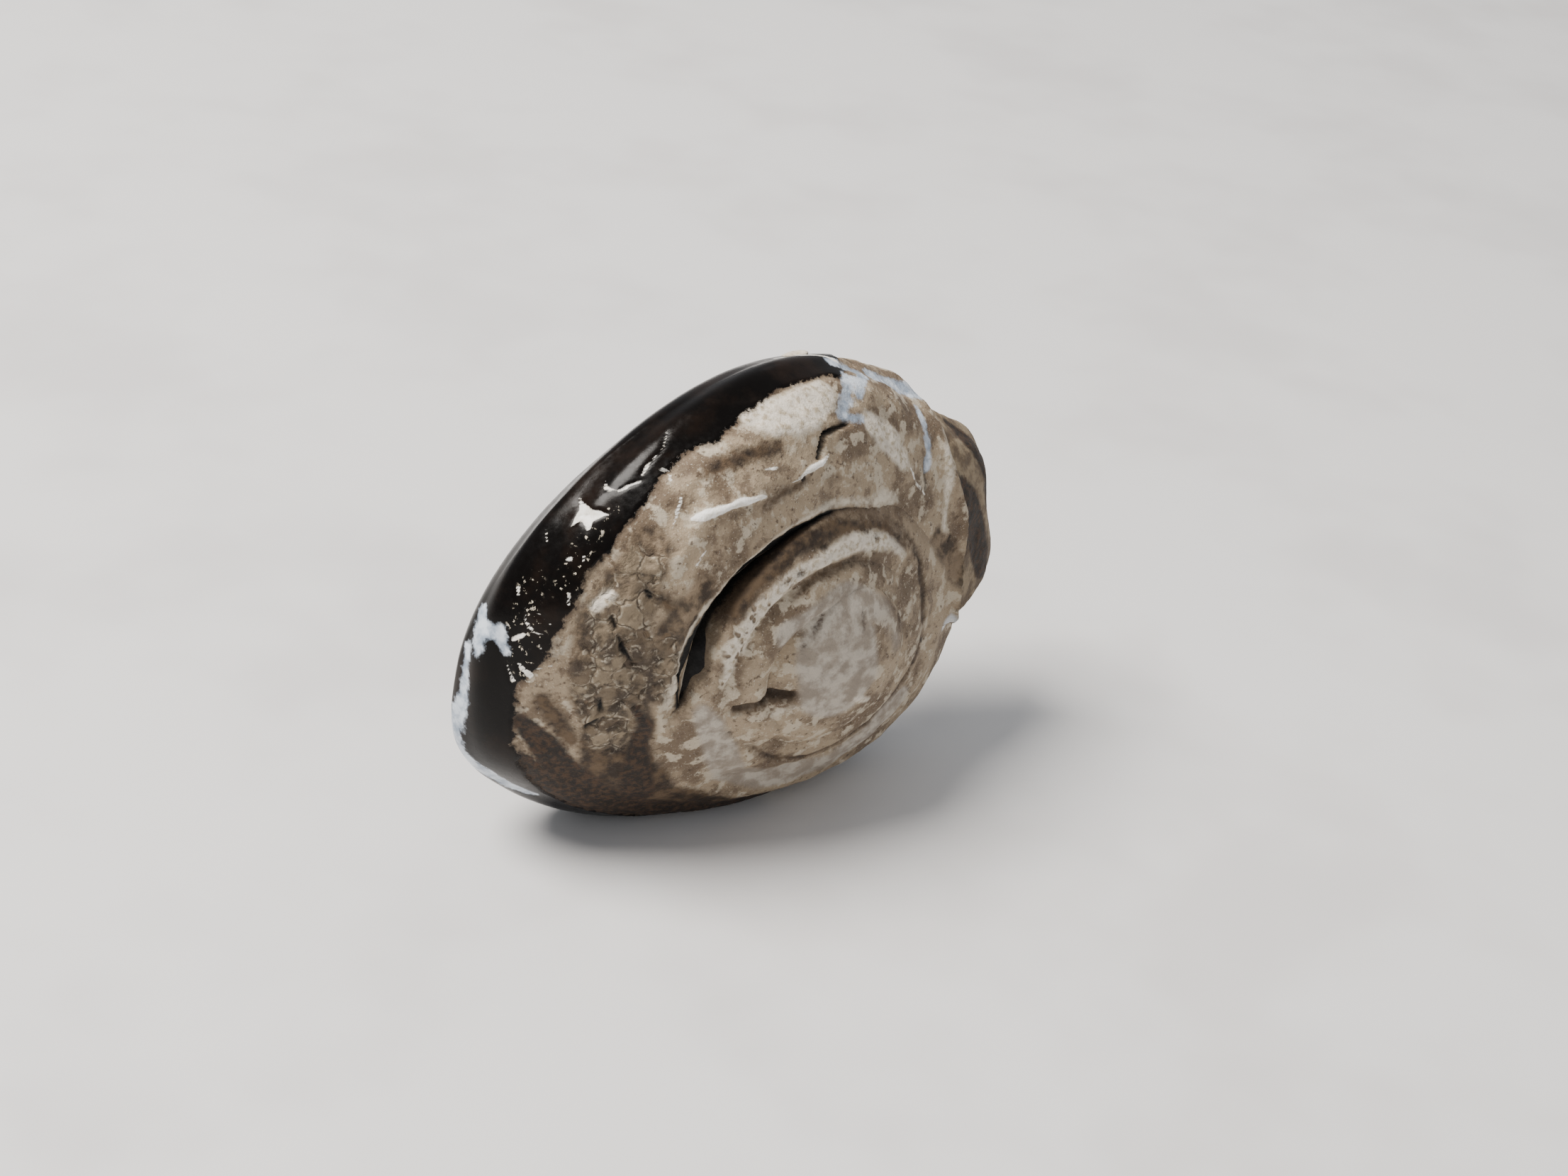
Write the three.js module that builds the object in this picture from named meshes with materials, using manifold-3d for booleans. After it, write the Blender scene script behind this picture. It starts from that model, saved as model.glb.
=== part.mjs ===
// A worn turban shell, in millimetres, +Z up. It lies mouth down on a table with its axis nearly level:
// the spire points to the front right and the lip of the last whorl is at the right.
import * as THREE from 'three';
import Module from 'manifold-3d';
import { ParametricGeometry } from 'three/addons/geometries/ParametricGeometry.js';
import { mergeVertices } from 'three/addons/utils/BufferGeometryUtils.js';

const wasm = await Module();
wasm.setup();

const turnAngle = 2 * Math.PI;
const radians = THREE.MathUtils.degToRad;

// The spiral. Turns count back from the lip, which is turn 0, so the spire is at negative turns.
const lipRadius = 9.1; // from the axis to the middle of the whorl, at the lip
const growthPerTurn = 1.414; // each whorl is this much larger than the one before
const dropPerRadius = 0.994; // how far the whorl's middle has sunk below the apex
const spireShift = { towardLip: 1.2, up: -0.28 }; // the young spire sits a little off the axis

// The whorl's section at the lip, measured from its middle.
const outReach = 8.85;
const inReach = 3.3;
const apexReach = 5.45;
const baseReach = 8.4;
const baseInset = 2.2; // the base comes to its lowest this far inside the middle
const baseRoundness = 1.5; // 2 is an ellipse and 1 a straight cone
const sectionTilt = radians(-13);

// The mouth: its wall, how far in it goes and how it narrows there, and how far past the lip the cut runs.
const mouth = { wall: 0.95, turnsIn: 0.3, closedInset: 3.2, closingShare: 0.5, turnsPast: 0.06 };
const parietalWear = 1; // how far the mouth is hollowed into the whorl it lies against

// How the whorl swells and wanders as it winds: waves of so many crests per turn, as shares of its size.
const reachWaves = [
  { crests: 1, share: 0.087, crestTurn: 0.33 },
  { crests: 2, share: 0.23, crestTurn: 0.011 },
  { crests: 3, share: 0.085, crestTurn: 0.12 },
];
const radiusWaves = [
  { crests: 1, share: 0.123, crestTurn: -0.406 },
  { crests: 2, share: 0.075, crestTurn: 0.157 },
];
const heightWaves = [
  { crests: 1, share: 0.087, crestTurn: -0.493 },
  { crests: 2, share: 0.076, crestTurn: 0.125 },
];
// Places where the outline of the last whorl stands out or is worn in.
const bulges = [
  { share: 0.075, turn: -0.52, halfWidth: 0.028 },
  { share: -0.053, turn: -0.103, halfWidth: 0.04 },
  { share: 0.115, turn: -0.034, halfWidth: 0.022 },
];

// The lip leans forward at the suture, and a raised rim marks where growth once rested.
const lipLean = radians(17.3);
const rim = {
  turnsBack: 0.118,
  fadeAngle: radians(77),
  squareness: 6, // how late along the section the rim bends forward to the lip
  height: 0.4,
  halfWidth: 0.012,
  stepDown: 0.35,
};

// Wear: soft lumps over the last whorl, in rows that sway.
const lastWhorlStart = -1.05;
const lumps = { height: 0.14, perTurn: 23, perRound: 9, alongSway: 2, swaysPerRound: 3, roundSway: 5 };

// How it lies: the spire points to the front right and dips a little, and the coil is rolled on its axis.
const axisHeading = radians(36.9);
const axisDip = radians(3.1);
const axisRoll = radians(-9.7);
const tableDrop = 11.2; // from the axis down to the worn flat that it rests on

// Damage on the spire and the last whorl, placed by turn and by the angle round the section.
const sutureGap = {
  stations: [
    { turn: -1.47, angle: 97 },
    { turn: -1.42, angle: 78 },
    { turn: -1.372, angle: 62 },
    { turn: -1.306, angle: 53 },
    { turn: -1.262, angle: 52 },
  ],
  radius: 0.85,
};
const crack = {
  stations: [
    { turn: -0.19, angle: 53 },
    { turn: -0.211, angle: 56 },
    { turn: -0.215, angle: 67 },
  ],
  radius: 0.42,
};
const spireHollow = { turn: -2.5, angle: 95, long: 1.9, wide: 0.8, deep: 0.9 };
const flake = { turn: -0.2, angle: -9, long: 0.8, wide: 0.45, thick: 0.28 };
const erodedDome = { radius: 5.2, height: 2, centre: -2.8 }; // what is left of the first whorls
const columella = { radius: 5.2, height: 5.2, centre: -7.6 }; // the pillar inside the coil
const navelPlug = { radius: 6, height: 3.6, centre: -11 }; // the callus that closes the navel

function waveSum(waves, turn) {
  return waves.reduce(
    (sum, wave) => sum + wave.share * Math.cos(turnAngle * wave.crests * (turn - wave.crestTurn)),
    0,
  );
}

function bell(distance, halfWidth) {
  return Math.exp(-((distance / halfWidth) ** 2));
}

function lipTurn(angle) {
  return (lipLean / turnAngle) * Math.sin(angle);
}

// The rim and the step down beyond it, as a height on the outer surface.
function rimHeight(turn, angle) {
  const fromMiddle = Math.acos(Math.cos(angle));
  const share = Math.min(fromMiddle / rim.fadeAngle, 1);
  const back = rim.turnsBack * (1 - share ** rim.squareness);
  const past = turn - (lipTurn(angle) - back);
  if (back <= 0) return 0;
  const step = past > 0 ? rim.stepDown * Math.min(past / rim.halfWidth, 1) : 0;
  return rim.height * bell(past, rim.halfWidth) - step;
}

function lumpHeight(turn, angle) {
  const along = Math.sin(lumps.perTurn * turn + lumps.alongSway * Math.sin(lumps.swaysPerRound * angle));
  const round = Math.cos(lumps.perRound * angle - lumps.roundSway * Math.sin(turnAngle * turn));
  return lumps.height * along * round;
}

// The whorl's section round its middle: an ellipse above, drawn out below into a fuller, conical base.
function sectionPoint(turn, angle, offset) {
  const bulge = bulges.reduce((sum, at) => sum + at.share * bell(turn - at.turn, at.halfWidth), 0);
  const out = outReach * (1 + waveSum(reachWaves, turn) + bulge) + offset;
  const cosine = Math.cos(angle);
  const sine = Math.sin(angle);
  if (sine >= 0) {
    const across = cosine > 0 ? out : inReach + offset;
    return { u: across * cosine, v: (apexReach + offset) * sine };
  }
  const power = cosine > 0 ? 2 / baseRoundness : 1;
  const reach = (cosine > 0 ? out + baseInset : baseInset - inReach - offset) * Math.abs(cosine) ** power;
  return { u: reach - baseInset, v: -(baseReach + offset) * Math.abs(sine) ** power };
}

// A point of the whorl's surface in the shell's frame: apex along +Z, lip along +X, inset into the wall.
function whorlPoint(turn, angle, inset = 0) {
  const scale = growthPerTurn ** turn;
  const lastWhorl = inset === 0 && turn > lastWhorlStart;
  const raised = lastWhorl ? rimHeight(turn, angle) + lumpHeight(turn, angle) : 0;
  const { u, v } = sectionPoint(turn, angle, (raised - inset) / scale);
  const middle = lipRadius * (1 + waveSum(radiusWaves, turn));
  const radius = scale * (middle + u * Math.cos(sectionTilt) - v * Math.sin(sectionTilt));
  const lift = lipRadius * (waveSum(heightWaves, turn) - dropPerRadius);
  const height = scale * (lift + u * Math.sin(sectionTilt) + v * Math.cos(sectionTilt));
  return new THREE.Vector3(
    radius * Math.cos(turnAngle * turn) + spireShift.towardLip * (1 - scale),
    -radius * Math.sin(turnAngle * turn) + spireShift.up * (1 - scale),
    height,
  );
}

// A closed solid from a geometry: shared vertices merged and collapsed triangles left out.
function solidOf(geometry) {
  const bare = geometry.clone();
  bare.deleteAttribute('normal');
  bare.deleteAttribute('uv');
  const merged = mergeVertices(bare, 1e-5);
  const index = merged.index.array;
  const corners = [];
  for (let i = 0; i < index.length; i += 3) {
    const [a, b, c] = [index[i], index[i + 1], index[i + 2]];
    if (a !== b && b !== c && c !== a) corners.push(a, b, c);
  }
  const mesh = new wasm.Mesh({
    numProp: 3,
    vertProperties: Float32Array.from(merged.attributes.position.array),
    triVerts: Uint32Array.from(corners),
  });
  return new wasm.Manifold(mesh);
}

// A tube with closed ends. ringPoint(along, angle) gives its surface, and each end closes on its middle.
function closedTube(ringPoint, steps, sides) {
  const middleOf = (along) => {
    const sum = new THREE.Vector3();
    for (let i = 0; i < sides; i += 1) sum.add(ringPoint(along, (turnAngle * i) / sides));
    return sum.divideScalar(sides);
  };
  const ends = [middleOf(0), middleOf(1)];
  const rows = steps + 2;
  const surface = (u, v, target) => {
    const row = Math.round(v * rows);
    const angle = turnAngle * (Math.round(u * sides) % sides) / sides;
    if (row === 0) target.copy(ends[0]);
    else if (row === rows) target.copy(ends[1]);
    else target.copy(ringPoint((row - 1) / steps, angle));
  };
  return solidOf(new ParametricGeometry(surface, sides, rows));
}

function whorlStretch({ from, to, steps, sides, leaning = false, inset = 0 }) {
  const ring = (along, angle) => {
    const end = to + (leaning ? lipTurn(angle) : 0);
    return whorlPoint(THREE.MathUtils.lerp(from, end, along), angle, inset);
  };
  return closedTube(ring, steps, sides);
}

// The hollow of the mouth: the last whorl's inside, narrowing inwards and running out past the lip.
function mouthHollow() {
  const ring = (along, angle) => {
    const turn = THREE.MathUtils.lerp(-mouth.turnsIn, mouth.turnsPast + lipTurn(angle), along);
    const closing = 1 - THREE.MathUtils.smoothstep(along, 0, mouth.closingShare);
    return whorlPoint(turn, angle, THREE.MathUtils.lerp(mouth.wall, mouth.closedInset, closing));
  };
  return closedTube(ring, 16, 24);
}

// A groove that follows the surface through its stations and fades out at both ends.
function groove({ stations, radius }, steps, sides) {
  const path = new THREE.CatmullRomCurve3(
    stations.map(({ turn, angle }) => whorlPoint(turn, radians(angle))),
  );
  const frames = path.computeFrenetFrames(steps);
  const fadedEnd = 0.15;
  const ring = (along, angle) => {
    const step = Math.round(along * steps);
    const reach = radius * Math.max(Math.sin(Math.PI * along), fadedEnd);
    return path
      .getPointAt(along)
      .addScaledVector(frames.normals[step], reach * Math.cos(angle))
      .addScaledVector(frames.binormals[step], reach * Math.sin(angle));
  };
  return closedTube(ring, steps, sides);
}

function ellipsoid(centre, sizes, turned = 0) {
  const ball = new THREE.SphereGeometry(1, 20, 14);
  ball.scale(...sizes);
  ball.rotateZ(turned);
  ball.translate(...centre);
  return solidOf(ball);
}

// Lays the shell down, with its worn flat at height 0.
const layDown = new THREE.Matrix4()
  .makeTranslation(0, 0, tableDrop)
  .multiply(new THREE.Matrix4().makeRotationZ(axisHeading))
  .multiply(new THREE.Matrix4().makeRotationX(axisDip))
  .multiply(new THREE.Matrix4().makeRotationY(axisRoll))
  .multiply(new THREE.Matrix4().makeRotationX(Math.PI / 2));

function shellSolid() {
  const lastWhorl = [
    { from: -0.5, to: 0, steps: 24, sides: 36, leaning: true },
    { from: -1, to: -0.5, steps: 20, sides: 32 },
  ];
  const spire = [
    { from: -1.5, to: -1, steps: 18, sides: 28 },
    { from: -2, to: -1.5, steps: 14, sides: 24 },
    { from: -2.5, to: -2, steps: 12, sides: 20 },
  ];
  const joined = (stretches) => stretches.map(whorlStretch).reduce((sum, whorl) => sum.add(whorl));
  const onAxis = ({ radius, height, centre }) =>
    ellipsoid([spireShift.towardLip, spireShift.up, centre], [radius, radius, height]);
  const axisForms = [erodedDome, columella, navelPlug].map(onAxis);
  const body = axisForms.reduce((sum, form) => sum.add(form), joined([...lastWhorl, ...spire]));

  const parietalWall = joined(spire.slice(0, 2).map((stretch) => ({ ...stretch, inset: parietalWear })));
  const pit = ellipsoid(
    whorlPoint(spireHollow.turn, radians(spireHollow.angle)).toArray(),
    [spireHollow.long, spireHollow.wide, spireHollow.deep],
    -axisHeading,
  );
  const leaf = ellipsoid(
    whorlPoint(flake.turn, radians(flake.angle)).toArray(),
    [flake.long, flake.wide, flake.thick],
    axisHeading,
  );
  return body
    .add(leaf)
    .subtract(mouthHollow().subtract(parietalWall))
    .subtract(groove(sutureGap, 26, 12))
    .subtract(groove(crack, 10, 8))
    .subtract(pit);
}

// The table plane takes off the worn flat.
function laidOnTable(solid) {
  const far = 60;
  const below = new THREE.BoxGeometry(2 * far, 2 * far, far);
  below.translate(0, 0, -far / 2);
  return solid.transform(layDown.elements).subtract(solidOf(below));
}

function geometryOf(solid) {
  const { vertProperties, triVerts } = solid.getMesh();
  const geometry = new THREE.BufferGeometry();
  geometry.setAttribute('position', new THREE.Float32BufferAttribute(vertProperties, 3));
  geometry.setIndex(new THREE.Uint32BufferAttribute(triVerts, 1));
  return geometry;
}

const shellGeometry = geometryOf(laidOnTable(shellSolid()));
shellGeometry.computeBoundingBox();
const middle = shellGeometry.boundingBox.getCenter(new THREE.Vector3());
shellGeometry.translate(-middle.x, -middle.y, 0);
shellGeometry.computeVertexNormals();

const wornLime = new THREE.MeshStandardMaterial({ color: 0xa8977f, roughness: 0.75, metalness: 0 });
const shell = new THREE.Mesh(shellGeometry, wornLime);
shell.name = 'shell';

const group = new THREE.Group();
group.add(shell);

export default group;
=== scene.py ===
import math
import itertools
import bpy
import mathutils
import numpy as np
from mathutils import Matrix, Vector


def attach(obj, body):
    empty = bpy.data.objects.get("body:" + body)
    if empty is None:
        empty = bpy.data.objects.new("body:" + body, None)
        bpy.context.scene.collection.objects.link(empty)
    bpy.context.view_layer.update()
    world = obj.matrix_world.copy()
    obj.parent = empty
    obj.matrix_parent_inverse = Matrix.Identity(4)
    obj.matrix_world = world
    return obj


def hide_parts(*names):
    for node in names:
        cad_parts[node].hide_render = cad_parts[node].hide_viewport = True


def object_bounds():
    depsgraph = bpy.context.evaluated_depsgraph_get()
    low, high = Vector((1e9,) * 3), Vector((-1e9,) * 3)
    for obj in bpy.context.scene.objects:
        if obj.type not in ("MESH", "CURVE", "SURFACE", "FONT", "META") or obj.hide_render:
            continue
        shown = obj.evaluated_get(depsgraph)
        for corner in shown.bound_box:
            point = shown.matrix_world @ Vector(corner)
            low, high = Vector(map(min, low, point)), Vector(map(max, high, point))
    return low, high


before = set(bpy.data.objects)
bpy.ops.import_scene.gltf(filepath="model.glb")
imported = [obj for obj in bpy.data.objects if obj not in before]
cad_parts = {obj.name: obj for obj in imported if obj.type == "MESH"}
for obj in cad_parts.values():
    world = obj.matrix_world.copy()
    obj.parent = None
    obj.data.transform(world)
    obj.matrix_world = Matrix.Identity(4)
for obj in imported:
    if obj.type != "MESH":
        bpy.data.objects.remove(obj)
cadLow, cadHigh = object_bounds()
mm = 0.001
fullTurn = 2 * math.pi

# The coil, in millimetres: apex along +Z, lip along +X. Turns count back from the lip, which is turn 0.
coil = {
    "lipRadius": 9.1, "growth": 1.414, "drop": 0.994, "shift": (1.2, -0.28),
    "out": 8.85, "inner": 3.3, "apex": 5.45, "base": 8.4, "inset": 2.2, "roundness": 1.5,
    "tilt": math.radians(-13), "lean": math.radians(17.3),
    "heading": math.radians(36.9), "dip": math.radians(3.1), "roll": math.radians(-9.7), "tableDrop": 11.2,
    "reachWaves": ((1, 0.087, 0.33), (2, 0.23, 0.011), (3, 0.085, 0.12)),
    "radiusWaves": ((1, 0.123, -0.406), (2, 0.075, 0.157)),
    "heightWaves": ((1, 0.087, -0.493), (2, 0.076, 0.125)),
    "bulges": ((0.075, -0.52, 0.028), (-0.053, -0.103, 0.04), (0.115, -0.034, 0.022)),
}
rim = {"back": 0.118, "fade": math.radians(77), "squareness": 6, "height": 0.4, "width": 0.012, "step": 0.35}
lumps = {
    "height": 0.14, "perTurn": 23, "perRound": 9, "alongSway": 2, "swaysPerRound": 3, "roundSway": 5,
    "fadeIn": (-1.05, -0.95),
}
dome = {"radius": 5.2, "height": 2.0, "centre": -2.8}
plug = {"radius": 6.0, "height": -3.6, "centre": -11.0}


def waveSum(waves, turn):
    return sum(share * np.cos(fullTurn * crests * (turn - crest)) for crests, share, crest in waves)


def bell(distance, width):
    return np.exp(-(distance / width) ** 2)


def smooth(value, low, high):
    share = np.clip((value - low) / (high - low), 0, 1)
    return share * share * (3 - 2 * share)


def lipTurn(angle):
    return coil["lean"] / fullTurn * np.sin(angle)


# How far behind the lip the old rim lies: level round the side, then forward to the lip.
def rimBack(angle):
    share = np.minimum(np.arccos(np.cos(angle)) / rim["fade"], 1)
    return rim["back"] * (1 - share ** rim["squareness"])


# The light rim where growth once rested, and the step down beyond it.
def rimHeight(turn, angle):
    back = rimBack(angle)
    past = turn - (lipTurn(angle) - back)
    step = rim["step"] * np.clip(past / rim["width"], 0, 1)
    return np.where(back > 0, rim["height"] * bell(past, rim["width"]) - step, 0)


def lumpHeight(turn, angle):
    along = np.sin(lumps["perTurn"] * turn + lumps["alongSway"] * np.sin(lumps["swaysPerRound"] * angle))
    across = np.cos(lumps["perRound"] * angle - lumps["roundSway"] * np.sin(fullTurn * turn))
    return lumps["height"] * along * across * smooth(turn, *lumps["fadeIn"])


def whorl(turn, angle, raised=0.0):
    turn, angle = np.broadcast_arrays(turn, angle)
    scale = coil["growth"] ** turn
    offset = raised / scale
    bulge = sum(share * bell(turn - at, width) for share, at, width in coil["bulges"])
    out = coil["out"] * (1 + waveSum(coil["reachWaves"], turn) + bulge) + offset
    cosine, sine = np.cos(angle), np.sin(angle)
    outside = cosine > 0
    upperU = np.where(outside, out, coil["inner"] + offset) * cosine
    upperV = (coil["apex"] + offset) * sine
    power = np.where(outside, 2 / coil["roundness"], 1)
    reach = np.where(outside, out + coil["inset"], coil["inset"] - coil["inner"] - offset)
    lowerU = reach * np.abs(cosine) ** power - coil["inset"]
    lowerV = -(coil["base"] + offset) * np.abs(sine) ** power
    u = np.where(sine >= 0, upperU, lowerU)
    v = np.where(sine >= 0, upperV, lowerV)
    cosTilt, sinTilt = math.cos(coil["tilt"]), math.sin(coil["tilt"])
    middle = coil["lipRadius"] * (1 + waveSum(coil["radiusWaves"], turn))
    lift = coil["lipRadius"] * (waveSum(coil["heightWaves"], turn) - coil["drop"])
    radius = scale * (middle + u * cosTilt - v * sinTilt)
    height = scale * (lift + u * sinTilt + v * cosTilt)
    x = radius * np.cos(fullTurn * turn) + coil["shift"][0] * (1 - scale)
    y = -radius * np.sin(fullTurn * turn) + coil["shift"][1] * (1 - scale)
    return np.stack([x, y, height], -1)


def outer(turn, angle):
    return whorl(turn, angle, rimHeight(turn, angle) + lumpHeight(turn, angle))


# A cap on the coil's axis: the eroded apex, or the callus that closes the navel.
def cap(form, around, away):
    flat = away / form["radius"]
    rise = form["centre"] + form["height"] * np.sqrt(np.clip(1 - flat ** 2, 0, 1))
    x = coil["shift"][0] + away * np.cos(around)
    y = coil["shift"][1] + away * np.sin(around)
    return np.stack([x, y, rise], -1)


def turned(axis, angle):
    cosine, sine = math.cos(angle), math.sin(angle)
    matrix = np.eye(3)
    first, second = (axis + 1) % 3, (axis + 2) % 3
    matrix[first, first] = matrix[second, second] = cosine
    matrix[first, second], matrix[second, first] = -sine, sine
    return matrix


# Lays the coil on the table: the spire to the front right, the mouth down at the back.
lay = turned(2, coil["heading"]) @ turned(0, coil["dip"]) @ turned(1, coil["roll"]) @ turned(0, math.pi / 2)


def laid(points):
    return points @ lay.T + np.array([shift[0], shift[1], coil["tableDrop"]])


trialSteps = (400, 200)
shift = (0.0, 0.0)
trialTurn, trialAngle = np.meshgrid(np.linspace(-1, 0, trialSteps[0]),
                                    np.linspace(-math.pi, math.pi, trialSteps[1]))
trial = laid(outer(trialTurn + lipTurn(trialAngle) * (1 + trialTurn), trialAngle)).reshape(-1, 3)
shift = tuple(-(trial.min(0) + trial.max(0))[:2] / 2)
print("coil laid down, spiral origin at", [round(float(s), 2) for s in shift])

# Seeded noise: large odd numbers and shifts that scatter a cell's place into a value from -1 to 1.
scatter = {
    "cell": (73856093, 19349663, 83492791), "seed": 2654435761, "seedLimit": 4294967291,
    "first": 6364136223846793005, "second": 1442695040888963407, "shifts": (29, 40), "halfRange": 2 ** 23,
    "farAway": 1000,  # cells, so that no place is negative
    "jitter": 0.45,
}


def hashed(cell, seed):
    x, y, z = (cell[..., i].astype(np.uint64) * np.uint64(scatter["cell"][i]) for i in range(3))
    stirred = x ^ y ^ z ^ np.uint64(seed * scatter["seed"] % scatter["seedLimit"])
    stirred = stirred * np.uint64(scatter["first"])
    stirred ^= stirred >> np.uint64(scatter["shifts"][0])
    stirred *= np.uint64(scatter["second"])
    return (stirred >> np.uint64(scatter["shifts"][1])).astype(float) / scatter["halfRange"] - 1


# Smooth noise over cells of the given size, in mm.
def noise(points, size, seed):
    place = points / size + scatter["farAway"]
    cell = np.floor(place).astype(np.int64)
    part = place - cell
    part = part * part * part * (part * (part * 6 - 15) + 10)
    total = 0
    for corner in itertools.product((0, 1), repeat=3):
        weight = np.prod(np.where(np.array(corner) == 1, part, 1 - part), -1)
        total = total + weight * hashed(cell + np.array(corner), seed)
    return total


def layered(points, size, seed, count=3):
    return sum(noise(points, size / 2 ** i, seed + i) / 2 ** i for i in range(count))


# Points strewn one to a cell: how far off the nearest and the next are, its cell, and the way from it.
def strewn(points, size, seed):
    place = points / size + scatter["farAway"]
    cell = np.floor(place).astype(np.int64)
    nearest = np.full(place.shape[:-1], np.inf)
    second = nearest.copy()
    chosen = np.zeros_like(cell)
    span = np.zeros_like(place)
    for corner in itertools.product((-1, 0, 1), repeat=3):
        near = cell + np.array(corner)
        jitter = np.stack([hashed(near, seed + i) for i in range(3)], -1) * scatter["jitter"] + 0.5
        offset = place - near - jitter
        away = np.linalg.norm(offset, axis=-1)
        closer = away < nearest
        second = np.where(closer, nearest, np.minimum(second, away))
        nearest = np.where(closer, away, nearest)
        chosen[closer] = near[closer]
        span[closer] = offset[closer]
    return nearest, second, chosen, span


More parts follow.
